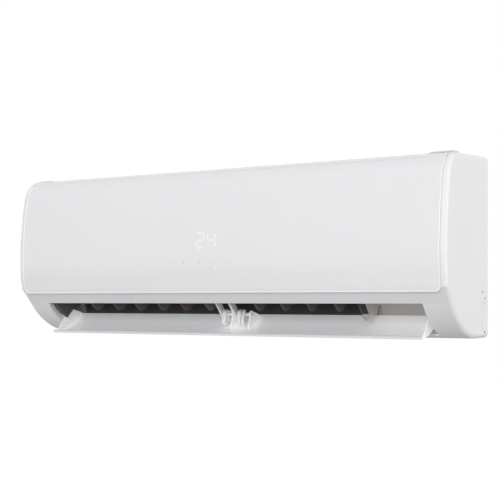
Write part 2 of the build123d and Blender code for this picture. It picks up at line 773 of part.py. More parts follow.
# The centre bracket reaches down from the outlet's roof and holds the louver's hub on a pin.
with BuildPart() as louver_bracket:
    arm_foot = roof_point(vane_seat + 5, 0.3)
    arm_heel = roof_point(vane_seat - 8, 0.3)
    for arm_x in (hub_x - 7, hub_x + 4):
        with BuildSketch(side(arm_x)):
            with BuildLine():
                Polyline(arm_foot, arm_heel, roof_point(vane_seat - 6, 22),
                         (pivot[0] + 5.5, pivot[1] + 2), (pivot[0] - 5.5, pivot[1] + 2), close=True)
            make_face()
            with Locations(pivot):
                Circle(6)
        extrude(amount=3)
    extrude(disc_face(hub_x - 5, pivot, 5), amount=10)
    extrude(disc_face(hub_x - hub_length / 2 - 1, pivot, louver_pin_radius),
            amount=hub_length + 2)
save(louver_bracket.part, "louver_bracket")

# The cross-flow fan: rings of curved blades between end discs and middle rings, a stub shaft on
# the left and a hub for the motor's shaft on the right.
blade_tip = fan_radius - 0.8


def blade_outline():
    """Cranked section of one fan blade, from its inner edge on local X to its tip."""
    front_tip = (blade_tip * cos(0.14), blade_tip * sin(0.14))
    back_tip = (blade_tip * cos(0.17), blade_tip * sin(0.17))
    with BuildSketch() as blade:
        with BuildLine():
            Polyline((blade_inner, 0), (blade_inner + 4.4, 1.6), front_tip, back_tip,
                     (blade_inner + 3.9, 2.9), (blade_inner + 0.2, 1.4), close=True)
        make_face()
    return blade.sketch


with BuildPart() as cross_flow_fan:
    with BuildSketch(side(fan_left)):
        for index in range(blade_count):
            angle = index * 360 / blade_count
            add(Pos(*fan_centre) * Rot(0, 0, angle) * blade_outline())
    extrude(amount=fan_right - fan_left)
    section_length = (fan_right - fan_left - disc_thickness) / fan_sections
    for index in range(fan_sections + 1):
        is_end = index in (0, fan_sections)
        ring_x = fan_left + index * section_length
        extrude(disc_face(ring_x, fan_centre, fan_radius, 0 if is_end else blade_inner - 1),
                amount=disc_thickness)
    extrude(disc_face(fan_right, fan_centre, 10), amount=-18)
    extrude(disc_face(fan_left, fan_centre, shaft_radius), amount=-23)
    extrude(disc_face(fan_right, fan_centre, shaft_radius + shaft_gap), amount=-17,
            mode=Mode.SUBTRACT)
save(cross_flow_fan.part, "cross_flow_fan")

# Rubber-mounted bearing of the fan's stub shaft, in the left end wall's seat.
with BuildPart() as fan_bearing:
    extrude(disc_face(duct_left - end_wall - 1, fan_centre, bearing_outer,
                      shaft_radius + shaft_gap), amount=-9)
save(fan_bearing.part, "fan_bearing")

# Motor: a moulded can with a boss at each end, held in two rubber rings.
with BuildPart() as fan_motor:
    extrude(disc_face(motor_left, fan_centre, motor_radius), amount=motor_length)
    chamfer(fan_motor.edges().filter_by(GeomType.CIRCLE), length=3)
    extrude(disc_face(motor_left - 4, fan_centre, 13), amount=motor_length + 8)
    extrude(disc_face(motor_left - 5, fan_centre, shaft_radius + shaft_gap), amount=motor_length + 10,
            mode=Mode.SUBTRACT)
save(fan_motor.part, "fan_motor")

with BuildPart() as motor_shaft:
    extrude(disc_face(fan_right - 16, fan_centre, shaft_radius),
            amount=motor_left + motor_length + 8 - fan_right + 16)
    chamfer(motor_shaft.edges().filter_by(GeomType.CIRCLE), length=0.6)
save(motor_shaft.part, "motor_shaft")

with BuildPart() as motor_rings:
    for saddle_x in (motor_left + 18, motor_left + motor_length - 6):
        extrude(disc_face(saddle_x, fan_centre, motor_outer, motor_radius + 0.02), amount=5)
save(motor_rings.part, "motor_rings")

# The motor cover closes the cradle round the front of the rubber rings.
with BuildPart() as motor_cover:
    with BuildSketch(side(motor_left + 17.5)):
        with Locations(fan_centre):
            Circle(motor_outer + 2.6)
            Circle(motor_outer + 0.1, mode=Mode.SUBTRACT)
        with BuildLine():
            Polyline(*[(fan_centre[0] + dy, fan_centre[1] + dz) for dy, dz in
                       ((-64, -62), (-fit, -62), (-fit, 0), (16, 0), (16, 68), (-64, 68))],
                     close=True)
        make_face(mode=Mode.INTERSECT)
    extrude(amount=motor_length - 19)
save(motor_cover.part, "motor_cover")

# Coil slabs, the bent tube sheets that hold them, and the return bends outside the sheets.
coil_length = coil_right - coil_left
for slab in slabs:
    with BuildPart() as coil_slab:
        extrude(outline_face(coil_left, *slab_corners(slab)), amount=coil_length)
    save(coil_slab.part, slab[0])

for name, sheet_x, wall in (("tube_sheet_left", coil_left - sheet_thickness, duct_left + fit),
                            ("tube_sheet_right", coil_right, duct_right - fit)):
    with BuildPart() as tube_sheet:
        for slab in slabs:
            extra = 0 if slab is slabs[0] else 1.5
            extrude(outline_face(sheet_x, *slab_corners(slab, extra)), amount=sheet_thickness)
        for joining in (((30, 105), (54, 105), (58, 95), (38, 79)),
                        ((80, 38), (97, 54), (104, 45), (118, 28))):
            corners = inside(*[(behind, case_height - below) for behind, below in joining])
            extrude(outline_face(sheet_x, *corners), amount=sheet_thickness)
        for foot in ((slabs[0][1][0], 116.5), slab_point(rear_slab, rear_slab[3] - 19.4)):
            with BuildSketch(side(sheet_x)):
                with Locations(foot):
                    Rectangle(14, 1.2)
            extrude(amount=wall - sheet_x)
        for at, pipe_radius in ((gas_start, gas_radius), (liquid_start, liquid_radius)):
            if name == "tube_sheet_right":
                extrude(disc_face(sheet_x - 1, at, 1.02 * pipe_radius + fit), amount=3,
                        mode=Mode.SUBTRACT)
    save(tube_sheet.part, name)

bend_stations = ((20, slabs[0][3] - 22), (30,), (10, rear_slab[3] / 2 - 7))
with BuildPart() as return_bends:
    for slab, stations in zip(slabs, bend_stations):
        angle = slab[2]
        for station in stations:
            middle = slab_point(slab, station)
            for sheet_x, turn_way in ((coil_left - sheet_thickness, -1),
                                      (coil_right + sheet_thickness, 1)):
                axis = Axis((sheet_x, middle[0], middle[1] - screw_height),
                            (0, cos(radians(angle)), sin(radians(angle))))
                with BuildSketch(side(sheet_x)):
                    with Locations(slab_point(slab, station, bend_radius)):
                        RegularPolygon(tube_radius, 8, rotation=angle + 22.5)
                revolve(axis=axis, revolution_arc=turn_way * 180)
save(return_bends.part, "return_bends")

# The gas and liquid pipes leave the coil, drop behind the motor and run along the pipe channel
# under the shelf to their flare unions.
gas_drop = duct_right + 11
pipes = (("gas_pipe", "gas_union", gas_start, gas_radius, gas_drop, 30, -150, 18, 12, 9.525, 24),
         ("liquid_pipe", "liquid_union", liquid_start, liquid_radius, gas_drop - 3, 46, -120, 12, 10,
          5.556, 17))
for (pipe_name, union_name, start, radius, drop_x, low, pipe_end, bend, hexagon_length,
     thread_radius, hexagon_width) in pipes:
    y = start[0]
    with BuildPart() as pipe:
        with BuildLine() as route:
            FilletPolyline((coil_right, y, start[1] - screw_height),
                           (drop_x, y, start[1] - screw_height), (drop_x, y, low - screw_height),
                           (pipe_end, y, low - screw_height), radius=bend)
        with BuildSketch(side(coil_right)):
            with Locations(start):
                RegularPolygon(radius, 16, major_radius=False)
        sweep(path=route.line)
    save(pipe.part, pipe_name)
    with BuildPart() as union:
        with BuildSketch(side(pipe_end)):
            with Locations((y, low)):
                RegularPolygon(hexagon_width / 2, 6, major_radius=False)
        extrude(amount=-hexagon_length)
        extrude(disc_face(pipe_end - hexagon_length, (y, low), thread_radius), amount=-14)
        chamfer(union.faces().sort_by(Axis.X)[0].edges(), length=1.5)
        extrude(disc_face(pipe_end, (y, low), radius - 1), amount=-hexagon_length - 15,
                mode=Mode.SUBTRACT)
    save(union.part, union_name)

with BuildPart() as pipe_clamp:
    with BuildSketch(side(100)):
        with BuildLine():
            Polyline((liquid_start[0] - 5.5, shelf_height - 0.1), (liquid_start[0] - 9, 48),
                     (liquid_start[0] - 9, 40), (gas_start[0] - 10, 20), (gas_start[0] + 10, 20),
                     (gas_start[0] + 10, shelf_height - 0.1), close=True)
        make_face()
        for _, _, start, radius, _, low, *_ in pipes:
            with Locations((start[0], low)):
                Circle(1.02 * radius + fit, mode=Mode.SUBTRACT)
    extrude(amount=12)
save(pipe_clamp.part, "pipe_clamp")

# Drain plug: a rubber stopper in the drain pan's unused left outlet.
with BuildPart() as drain_plug:
    extrude(disc_face(pan_left, plug_at, 6.5), amount=-3)
    extrude(disc_face(pan_left, plug_at, plug_radius), amount=6)
save(drain_plug.part, "drain_plug")

# Electrical box: an open tray on two lugs, with its board, cover and terminal block.
box_left = duct_right + 14
box_width = half_width - 16.5 - box_left
box_low = 118
box_tall = case_height - 165
box_back = 60 - case_depth
box_depth = 32
with BuildPart() as electrical_box:
    with BuildSketch(front(box_back)):
        with Locations((box_left, box_low)):
            RectangleRounded(box_width, box_tall, 4, align=(Align.MIN, Align.MIN))
    extrude(amount=box_depth)
    with BuildSketch(front(box_back - 2)):
        with Locations((box_left + 2, box_low + 2)):
            Rectangle(box_width - 4, box_tall - 4, align=(Align.MIN, Align.MIN))
    extrude(amount=box_depth, mode=Mode.SUBTRACT)
    for height in (box_low + 32, box_low + box_tall - 28):
        with BuildSketch(side(box_left + 1)):
            with Locations((box_back - 12, height)):
                Rectangle(14, 3)
        extrude(amount=duct_right + end_wall + fit - box_left - 1)
    with BuildSketch(front(box_back - 1)):
        with Locations((box_left + box_width / 2, box_low + box_tall / 2)):
            with GridLocations(box_width - 22, box_tall - 22, 2, 2):
                Circle(3)
    extrude(amount=7)
save(electrical_box.part, "electrical_box")

with BuildPart() as box_cover:
    with BuildSketch(front(box_back - box_depth)):
        with Locations((box_left, box_low)):
            RectangleRounded(box_width, box_tall, 4, align=(Align.MIN, Align.MIN))
    extrude(amount=1.5)
save(box_cover.part, "box_cover")

with BuildPart() as control_board:
    with BuildSketch(front(box_back - 8)):
        with Locations((box_left + box_width / 2, box_low + box_tall / 2)):
            Rectangle(box_width - 10, box_tall - 10)
    extrude(amount=1.6)
    parts_on_board = (((0.22, 0.79), (30, 26), 16), ((0.66, 0.82), (22, 16), 15),
                      ((0.17, 0.21), (16, 20), 12), ((0.75, 0.45), (28, 12), 9),
                      ((0.43, 0.42), (14, 14), 2), ((0.5, 0.15), (46, 9), 8))
    for share, footprint, rise in parts_on_board:
        with BuildSketch(front(box_back - 9)):
            with Locations((box_left + share[0] * box_width, box_low + share[1] * box_tall)):
                Rectangle(*footprint)
        extrude(amount=rise)
    with BuildSketch(front(box_back - 9)):
        with Locations((box_left + 0.83 * box_width, box_low + 0.2 * box_tall)):
            Circle(9)
    extrude(amount=20)
save(control_board.part, "control_board")

with BuildPart() as terminal_block:
    terminal_x = box_left + box_width - 31
    with BuildSketch(front(box_back - 12)):
        with Locations((terminal_x, box_low - fit)):
            Rectangle(60, 16, align=(Align.CENTER, Align.MAX))
    extrude(amount=16)
    with BuildSketch(front(box_back - 20)):
        with Locations((terminal_x, box_low - fit - 8)):
            with GridLocations(11, 1, 5, 1):
                Rectangle(9, 18)
    extrude(amount=12, mode=Mode.SUBTRACT)
    with BuildSketch(front(box_back - 19)):
        with Locations((terminal_x, box_low - fit - 8)):
            with GridLocations(11, 1, 5, 1):
                Circle(3)
    extrude(amount=3)
save(terminal_block.part, "terminal_block")

# Display board with its two digits and the row of indicators, behind the front panel.
digit_x = (-15.5, 6)
digit_middle = 156
with BuildPart() as display_board:
    with BuildSketch(front(8.1 - case_depth)):
        with Locations((-6, 140)):
            Rectangle(112, 68)
    extrude(amount=1.2)
    with BuildSketch(front(7 - case_depth)):
        with Locations(*[(x, digit_middle) for x in digit_x]):
            Rectangle(19, 29)
        with Locations((-48, 121), (-17, 121), (14, 121), (44, 121), (14, 112)):
            Circle(2)
    extrude(amount=1)
save(display_board.part, "display_board")

# Emergency button behind the front panel: pressed towards the wall against its spring.
with BuildPart() as emergency_button:
    with BuildSketch(front(latch_wall + fit)):
        with Locations(button_at):
            Circle(button_radius)
    extrude(amount=6.5)
    with BuildSketch(front(latch_wall + fit)):
        with Locations(button_at):
            Circle(button_radius + 1.5)
    extrude(amount=-1.5)
save(emergency_button.part, "emergency_button")

with BuildPart() as frame_screws:
    for x in screw_places:
        with BuildSketch(front(latch_wall - shell - 0.05)):
            with Locations((x, frame_screw_height)):
                Circle(3.6)
        extrude(amount=2.2)
        with BuildSketch(front(latch_wall - shell - 0.05)):
            with Locations((x, frame_screw_height)):
                Circle(1.45)
        extrude(amount=-18)
save(frame_screws.part, "frame_screws")

# Room air sensor: a small bead holder clipped on the front of the coil.
with BuildPart() as room_sensor:
    coil_face = slabs[0][1][0] - coil_thickness / 2
    with BuildSketch(front(coil_face - 0.1)):
        with Locations((coil_right - 82, 150)):
            RectangleRounded(12, 26, 2)
    extrude(amount=3)
    with BuildSketch(level(150)):
        with Locations((coil_right - 82, coil_face - 5)):
            Circle(2.5)
    extrude(amount=20)
save(room_sensor.part, "room_sensor")
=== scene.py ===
import math

import bmesh
import bpy
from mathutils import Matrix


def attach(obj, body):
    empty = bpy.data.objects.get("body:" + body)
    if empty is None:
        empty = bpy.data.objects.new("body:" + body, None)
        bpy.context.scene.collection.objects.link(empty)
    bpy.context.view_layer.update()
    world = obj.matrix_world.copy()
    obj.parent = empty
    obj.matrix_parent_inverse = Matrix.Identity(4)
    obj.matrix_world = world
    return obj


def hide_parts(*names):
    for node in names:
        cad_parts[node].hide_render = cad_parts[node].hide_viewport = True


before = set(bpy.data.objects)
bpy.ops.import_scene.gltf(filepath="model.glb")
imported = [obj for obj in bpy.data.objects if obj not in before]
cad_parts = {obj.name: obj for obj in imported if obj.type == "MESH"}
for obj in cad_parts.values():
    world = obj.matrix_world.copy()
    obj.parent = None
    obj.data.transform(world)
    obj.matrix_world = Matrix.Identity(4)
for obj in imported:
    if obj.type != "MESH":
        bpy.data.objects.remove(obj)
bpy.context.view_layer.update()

# The photograph's camera: level, low, in front of the unit's right half and turned towards it.
# Its focal length and shift are those that a fit to the case's edges gave.
bpy.ops.object.camera_add(location=(0.9088, -1.6103, -0.0919),
                          rotation=(math.pi / 2, 0, math.radians(30.2)))
camera = bpy.context.object
camera.data.lens = 74.56
camera.data.sensor_width = 36
camera.data.shift_y = 0.0967
bpy.context.scene.camera = camera
bpy.context.scene.view_settings.view_transform = "Standard"

# The studio: one broad lamp above and in front, a weaker one on the right, and an even world that
# lights from all round. The camera and mirror-like surfaces see the world as plain white.
soft_light = 0.61
lamp_width = 2.0
lamps = (("front lamp", (1.2, -4.8, 1.1), (math.radians(77), 0, math.radians(14)), 103),
         ("right lamp", (4.6, 0.9, 0.8), (math.radians(79.3), 0, math.radians(103)), 66))


def linear(code):
    """Linear RGBA of an sRGB hex colour."""
    shares = [int(code[place:place + 2], 16) / 255 for place in (1, 3, 5)]
    return [share / 12.92 if share <= 0.04045 else ((share + 0.055) / 1.055) ** 2.4
            for share in shares] + [1]


def add_node(tree, kind, settings=None, **inputs):
    """Adds a node, sets its attributes, and fills its inputs with values or other outputs."""
    added = tree.nodes.new(kind)
    for name, value in (settings or {}).items():
        setattr(added, name, value)
    for name, value in inputs.items():
        numbered = name.startswith("input_")
        socket = added.inputs[int(name[6:]) if numbered else name.replace("_", " ")]
        if isinstance(value, bpy.types.NodeSocket):
            tree.links.new(value, socket)
        else:
            socket.default_value = value
    return added


world = bpy.data.worlds.new("studio world")
bpy.context.scene.world = world
world.use_nodes = True
sky = world.node_tree
sky.nodes.clear()
path = add_node(sky, "ShaderNodeLightPath")
mirrored = add_node(sky, "ShaderNodeMath", {"operation": "MAXIMUM"},
                    input_0=path.outputs["Is Glossy Ray"],
                    input_1=path.outputs["Is Transmission Ray"])
seen = add_node(sky, "ShaderNodeMath", {"operation": "MAXIMUM"},
                input_0=path.outputs["Is Camera Ray"], input_1=mirrored.outputs[0])
plain = add_node(sky, "ShaderNodeBackground", Color=linear("#FFFFFF"), Strength=1.0)
soft = add_node(sky, "ShaderNodeBackground", Color=linear("#FBFBFD"), Strength=soft_light)
choice = add_node(sky, "ShaderNodeMixShader", input_0=seen.outputs[0],
                  input_1=soft.outputs[0], input_2=plain.outputs[0])
add_node(sky, "ShaderNodeOutputWorld", Surface=choice.outputs[0])

for lamp_name, place, turn, power in lamps:
    bpy.ops.object.light_add(type="AREA", location=place, rotation=turn)
    lamp = bpy.context.object
    lamp.name = lamp_name
    lamp.data.size = lamp_width
    lamp.data.energy = power

# The floor is a plain white sheet well under the unit, which hangs. It glows for the camera only,
# so that it looks as white as the world and keeps a faint shadow.
floor_width = 12
floor_height = -0.75
floor_glow = 0.85
bpy.ops.mesh.primitive_plane_add(size=floor_width, location=(0, 0, floor_height))
floor = bpy.context.object
floor.name = "floor"
floor_finish = bpy.data.materials.new("floor paper")
floor_finish.use_nodes = True
floor_tree = floor_finish.node_tree
floor_tree.nodes.clear()
floor_grain = add_node(floor_tree, "ShaderNodeTexNoise", Scale=40.0)
floor_tone = add_node(floor_tree, "ShaderNodeMix", {"data_type": "RGBA"},
                      input_0=floor_grain.outputs["Fac"], input_6=linear("#C6C6C6"),
                      input_7=linear("#CBCBCB"))
floor_paper = add_node(floor_tree, "ShaderNodeBsdfDiffuse", Color=floor_tone.outputs[2])
floor_path = add_node(floor_tree, "ShaderNodeLightPath")
floor_share = add_node(floor_tree, "ShaderNodeMapRange",
                       Value=floor_path.outputs["Is Camera Ray"], To_Min=0.0, To_Max=floor_glow)
floor_lift = add_node(floor_tree, "ShaderNodeEmission", Color=linear("#FFFFFF"),
                      Strength=floor_share.outputs[0])
floor_sum = add_node(floor_tree, "ShaderNodeAddShader", input_0=floor_paper.outputs[0],
                     input_1=floor_lift.outputs[0])
add_node(floor_tree, "ShaderNodeOutputMaterial", Surface=floor_sum.outputs[0])
floor.data.materials.append(floor_finish)

# The case: front frame and top grille, injection-moulded white ABS with a fine spark-eroded
# surface. It scatters most light, and its edges are rounded by the mould.


def start_material(name):
    """A material's tree with its Object coordinates, shader and output in place."""
    made = bpy.data.materials.new(name)
    made.use_nodes = True
    tree = made.node_tree
    tree.nodes.clear()
    place = add_node(tree, "ShaderNodeTexCoord").outputs["Object"]
    shader = add_node(tree, "ShaderNodeBsdfPrincipled")
    add_node(tree, "ShaderNodeOutputMaterial", Surface=shader.outputs[0])
    return made, tree, place, shader


gloss_spread = 0.05
melt_drift = 0.975


def moulded_plastic(name, code, roughness, grain_mm, edge_mm=0.0, relief=0.04):
    """Moulded plastic: a faint tone drift from the melt's flow, and an eroded mould's grain."""
    made, tree, place, shader = start_material(name)
    flow = add_node(tree, "ShaderNodeTexNoise", Vector=place, Scale=9.0, Detail=2.0)
    tone = add_node(tree, "ShaderNodeMix", {"data_type": "RGBA"}, input_0=flow.outputs["Fac"],
                    input_6=[part * melt_drift for part in linear(code)[:3]] + [1],
                    input_7=linear(code))
    tree.links.new(tone.outputs[2], shader.inputs["Base Color"])
    grain = add_node(tree, "ShaderNodeTexNoise", Vector=place, Scale=1000 / grain_mm, Detail=3.0)
    gloss = add_node(tree, "ShaderNodeMapRange", Value=grain.outputs["Fac"],
                     To_Min=roughness - gloss_spread, To_Max=roughness + gloss_spread)
    tree.links.new(gloss.outputs[0], shader.inputs["Roughness"])
    bump = add_node(tree, "ShaderNodeBump", Strength=relief, Distance=0.0002,
                    Height=grain.outputs["Fac"])
    if edge_mm:
        edge = add_node(tree, "ShaderNodeBevel", {"samples": 6}, Radius=edge_mm / 1000)
        tree.links.new(edge.outputs[0], bump.inputs["Normal"])
    tree.links.new(bump.outputs[0], shader.inputs["Normal"])
    shader.inputs["IOR"].default_value = 1.53
    return made, tree, place, shader


def dress(finish, *names):
    """Gives CAD nodes a finish in all their slots."""
    for name in names:
        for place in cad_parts[name].material_slots:
            place.material = finish


def strongest(tree, shares):
    """The largest of several shares at each point."""
    total = shares[0]
    for share in shares[1:]:
        total = add_node(tree, "ShaderNodeMath", {"operation": "MAXIMUM"}, input_0=total,
                         input_1=share).outputs[0]
    return total


case_abs, case_tree, case_place, case_shader = moulded_plastic(
    "white ABS, fine eroded", "#E9E9EA", 0.42, 0.7, edge_mm=0.7)
# The three small holes low in each side wall get painted shade: their depths are drawn dark. Each
# has its place in side view and its shade's strength, and the painted shade fades between two
# radii.
screw_height = 0.150  # the frame's origin stands this high above the case's bottom
side_from = 0.398
hole_radii = (0.0013, 0.0031)
painted_hole_shades = ((-0.0274, 0.072 - screw_height, 0.85), (-0.0159, 0.0615 - screw_height, 0.7),
               (-0.0169, 0.009 - screw_height, 0.95))
hole_shade_shares = []
for hole_y, hole_z, strength in painted_hole_shades:
    moved = add_node(case_tree, "ShaderNodeVectorMath", {"operation": "SUBTRACT"},
                     input_0=case_place, input_1=(0, hole_y, hole_z))
    sideways = add_node(case_tree, "ShaderNodeVectorMath", {"operation": "MULTIPLY"},
                        input_0=moved.outputs[0], input_1=(0, 1, 1))
    away = add_node(case_tree, "ShaderNodeVectorMath", {"operation": "LENGTH"},
                    input_0=sideways.outputs[0])
    hole_shade_shares.append(add_node(
        case_tree, "ShaderNodeMapRange", {"interpolation_type": "SMOOTHSTEP"},
        Value=away.outputs["Value"], From_Min=hole_radii[0], From_Max=hole_radii[1],
        To_Min=strength, To_Max=0.0).outputs[0])
across = add_node(case_tree, "ShaderNodeSeparateXYZ", Vector=case_place)
half_across = add_node(case_tree, "ShaderNodeMath", {"operation": "ABSOLUTE"},
                       input_0=across.outputs["X"])
on_side = add_node(case_tree, "ShaderNodeMath", {"operation": "GREATER_THAN"},
                   input_0=half_across.outputs[0], input_1=side_from)
side_shade = add_node(case_tree, "ShaderNodeMath", {"operation": "MULTIPLY"},
                      input_0=strongest(case_tree, hole_shade_shares), input_1=on_side.outputs[0])
# Painted shade: the holes' dark depths mixed into the case's colour.
case_tone = add_node(case_tree, "ShaderNodeMix", {"data_type": "RGBA"},
                     input_0=side_shade.outputs[0],
                     input_6=case_shader.inputs["Base Color"].links[0].from_socket,
                     input_7=linear("#2E2D2D"))
case_tree.links.new(case_tone.outputs[2], case_shader.inputs["Base Color"])
dress(case_abs, "front_frame", "top_grille")

# The front panel: glossy white ABS, thin enough at the display for the segments' light to pass.
# Two digits and a dot glow through it, and unlit indicators show as faint grey spots. A moulded
# crease runs along its top, and the shade in it is painted as a dark line.
panel_abs, panel_tree, panel_place, panel_shader = moulded_plastic(
    "white ABS, polished", "#EAEAEB", 0.24, 1.1, edge_mm=0.8, relief=0.015)
panel_shader.inputs["Coat Weight"].default_value = 0.18
panel_shader.inputs["Coat Roughness"].default_value = 0.1
digit_low = 0.1436 - screw_height
digit_rise = 0.0119
digit_sides = ((-0.0205, -0.0069), (0.0009, 0.0150))
bar = (0.0043, 0.0002)
post = (0.0002, 0.0038)
segment_blur = 0.0021
dot = (0.0159, 0.1121 - screw_height, 0.0003, 0.0003, 0.0030)  # place, half sizes and blur
glow_strength = 0.12
indicator_height = 0.121 - screw_height
indicator_size = (0.0002, 0.0002, 0.0028)
indicators = ((-0.0461, 0.30), (-0.0151, 0.22), (0.0159, 0.05), (0.0459, 0.08))
crease_shade_line = (0, 0.2682 - screw_height, 0.360, 0.0002, 0.0006)
crease_shade_depth = 0.16


def light_spot(middle_x, middle_z, half_x, half_z, blur):
    """Share of light at a rounded bar behind the panel, which fades out over blur."""
    moved = add_node(panel_tree, "ShaderNodeVectorMath", {"operation": "SUBTRACT"},
                     input_0=panel_place, input_1=(middle_x, 0, middle_z))
    sized = add_node(panel_tree, "ShaderNodeVectorMath", {"operation": "ABSOLUTE"},
                     input_0=moved.outputs[0])
    beyond = add_node(panel_tree, "ShaderNodeVectorMath", {"operation": "SUBTRACT"},
                      input_0=sized.outputs[0], input_1=(half_x, 1, half_z))
    outside = add_node(panel_tree, "ShaderNodeVectorMath", {"operation": "MAXIMUM"},
                       input_0=beyond.outputs[0], input_1=(0, 0, 0))
    gap = add_node(panel_tree, "ShaderNodeVectorMath", {"operation": "LENGTH"},
                   input_0=outside.outputs[0])
    return add_node(panel_tree, "ShaderNodeMapRange", {"interpolation_type": "SMOOTHSTEP"},
                    Value=gap.outputs["Value"], From_Min=0.0, From_Max=blur, To_Min=1.0,
                    To_Max=0.0).outputs[0]


def segment(x, step, size):
    """A lit bar or post of a digit, this many half digits above its foot."""
    return light_spot(x, digit_low + step * digit_rise, *size, segment_blur)


(two_left, two_right), (four_left, four_right) = digit_sides
segments = [segment((two_left + two_right) / 2, step, bar) for step in (0, 1, 2)]
segments += [segment(two_left, 0.5, post), segment(two_right, 1.5, post),
             segment((four_left + four_right) / 2, 1, bar), segment(four_left, 1.5, post),
             segment(four_right, 1.5, post), segment(four_right, 0.5, post)]
glow = add_node(panel_tree, "ShaderNodeMapRange", To_Min=0.0, To_Max=glow_strength,
                Value=strongest(panel_tree, segments + [light_spot(*dot)]))
panel_shader.inputs["Emission Color"].default_value = linear("#FFFFFF")
panel_tree.links.new(glow.outputs[0], panel_shader.inputs["Emission Strength"])
shades = [add_node(panel_tree, "ShaderNodeMath", {"operation": "MULTIPLY"},
                   input_0=light_spot(x, indicator_height, *indicator_size),
                   input_1=depth).outputs[0] for x, depth in indicators]
# Painted shade: the crease's dark line.
crease_shade = add_node(panel_tree, "ShaderNodeMath", {"operation": "MULTIPLY"},
                  input_0=light_spot(*crease_shade_line), input_1=crease_shade_depth)
spotted = add_node(panel_tree, "ShaderNodeMix", {"data_type": "RGBA"},
                   input_0=strongest(panel_tree, shades + [crease_shade.outputs[0]]),
                   input_6=panel_shader.inputs["Base Color"].links[0].from_socket,
                   input_7=linear("#5A5A5C"))
panel_tree.links.new(spotted.outputs[2], panel_shader.inputs["Base Color"])
dress(panel_abs, "front_panel")

# The louver is white ABS like the case, satin. Its long inner pans and its whole outer face are a
# shade bluer than the plain zones at its left end and round the centre clip. It also has a faint,
# even painted glow: painted light standing in for the light from under the thin blade.
louver_abs, louver_tree, louver_place, louver_shader = moulded_plastic(
    "white ABS, satin", "#F3F3F3", 0.38, 0.8, edge_mm=0.6)
pan_ends = (-0.336, 0.349)
pan_blur = 0.0006
clip_zone = (-0.011, 0.049)
clip_blur = 0.004
outer_below = 0.05  # a face that points up less than this is an outer one
louver_painted_glow = 0.19


def zone(left, right, blur):
    """Share that is 1 between two places along the louver and fades out over blur."""
    along = add_node(louver_tree, "ShaderNodeSeparateXYZ", Vector=louver_place).outputs["X"]
    moved = add_node(louver_tree, "ShaderNodeMath", {"operation": "SUBTRACT"}, input_0=along,
                     input_1=(left + right) / 2)
    sized = add_node(louver_tree, "ShaderNodeMath", {"operation": "ABSOLUTE"},
                     input_0=moved.outputs[0])
    return add_node(louver_tree, "ShaderNodeMapRange", Value=sized.outputs[0],
                    From_Min=(right - left - blur) / 2, From_Max=(right - left + blur) / 2,
                    To_Min=1.0, To_Max=0.0).outputs[0]


pans = add_node(louver_tree, "ShaderNodeMath", {"operation": "SUBTRACT", "use_clamp": True},
                input_0=zone(*pan_ends, pan_blur), input_1=zone(*clip_zone, clip_blur))
facing = add_node(louver_tree, "ShaderNodeTexCoord").outputs["Normal"]
upward = add_node(louver_tree, "ShaderNodeSeparateXYZ", Vector=facing).outputs["Z"]
outer_face = add_node(louver_tree, "ShaderNodeMath", {"operation": "LESS_THAN"}, input_0=upward,
                      input_1=outer_below)
pan_share = add_node(louver_tree, "ShaderNodeMath", {"operation": "MAXIMUM"},
                     input_0=pans.outputs[0], input_1=outer_face.outputs[0])
pan_tone = add_node(louver_tree, "ShaderNodeMix", {"data_type": "RGBA"},
                    input_0=pan_share.outputs[0],
                    input_6=louver_shader.inputs["Base Color"].links[0].from_socket,
                    input_7=linear("#E8EAEC"))
louver_tree.links.new(pan_tone.outputs[2], louver_shader.inputs["Base Color"])
# Painted light: a faint, even glow over the whole louver.
louver_shader.inputs["Emission Color"].default_value = linear("#FFFFFF")
louver_shader.inputs["Emission Strength"].default_value = louver_painted_glow
dress(louver_abs, "louver")
clip_pom = moulded_plastic("white acetal", "#F2F2F0", 0.32, 0.9, edge_mm=0.4)[0]
dress(clip_pom, "louver_bracket", "louver_bush")

# The chassis and the drain pan with the outlet's roof: polystyrene, matt. Their dark tone is partly
# their own and partly painted shade, so that the duct stays dark from outside. On the blank walls
# beside the duct a slanting line is painted: behind it and at their foot they are pale with painted
# light, and in front of it near black with painted shade.
duct_ends = (0.2512, 0.232)  # at the outlet's front and at its rear
rear_from = -0.09
light_line_top = (-0.134, -0.100)
light_line_slope = 0.93
blank_foot = 0.0375 - screw_height
chassis_ps, chassis_tree, chassis_place, chassis_shader = moulded_plastic(
    "dark polystyrene with painted shade, matt", "#5C5754", 0.6, 1.2)
blank_parts = add_node(chassis_tree, "ShaderNodeSeparateXYZ", Vector=chassis_place)
rear_part = add_node(chassis_tree, "ShaderNodeMath", {"operation": "GREATER_THAN"},
                     input_0=blank_parts.outputs["Y"], input_1=rear_from)
end_line = add_node(chassis_tree, "ShaderNodeMapRange", Value=rear_part.outputs[0],
                    To_Min=duct_ends[0], To_Max=duct_ends[1])
past_end = add_node(chassis_tree, "ShaderNodeMath", {"operation": "GREATER_THAN"},
                    input_0=blank_parts.outputs["X"], input_1=end_line.outputs[0])
fall = add_node(chassis_tree, "ShaderNodeMath", {"operation": "MULTIPLY_ADD"},
                input_0=blank_parts.outputs["Z"], input_1=light_line_slope,
                input_2=blank_parts.outputs["Y"])
behind_line = add_node(chassis_tree, "ShaderNodeMath", {"operation": "GREATER_THAN"},
                       input_0=fall.outputs[0], input_1=light_line_top[0] + light_line_slope * light_line_top[1])
foot_part = add_node(chassis_tree, "ShaderNodeMath", {"operation": "LESS_THAN"},
                     input_0=blank_parts.outputs["Z"], input_1=blank_foot)
painted_light_part = add_node(chassis_tree, "ShaderNodeMath", {"operation": "MAXIMUM"},
                     input_0=behind_line.outputs[0], input_1=foot_part.outputs[0])
painted_light_share = add_node(chassis_tree, "ShaderNodeMath", {"operation": "MULTIPLY"},
                       input_0=past_end.outputs[0], input_1=painted_light_part.outputs[0])
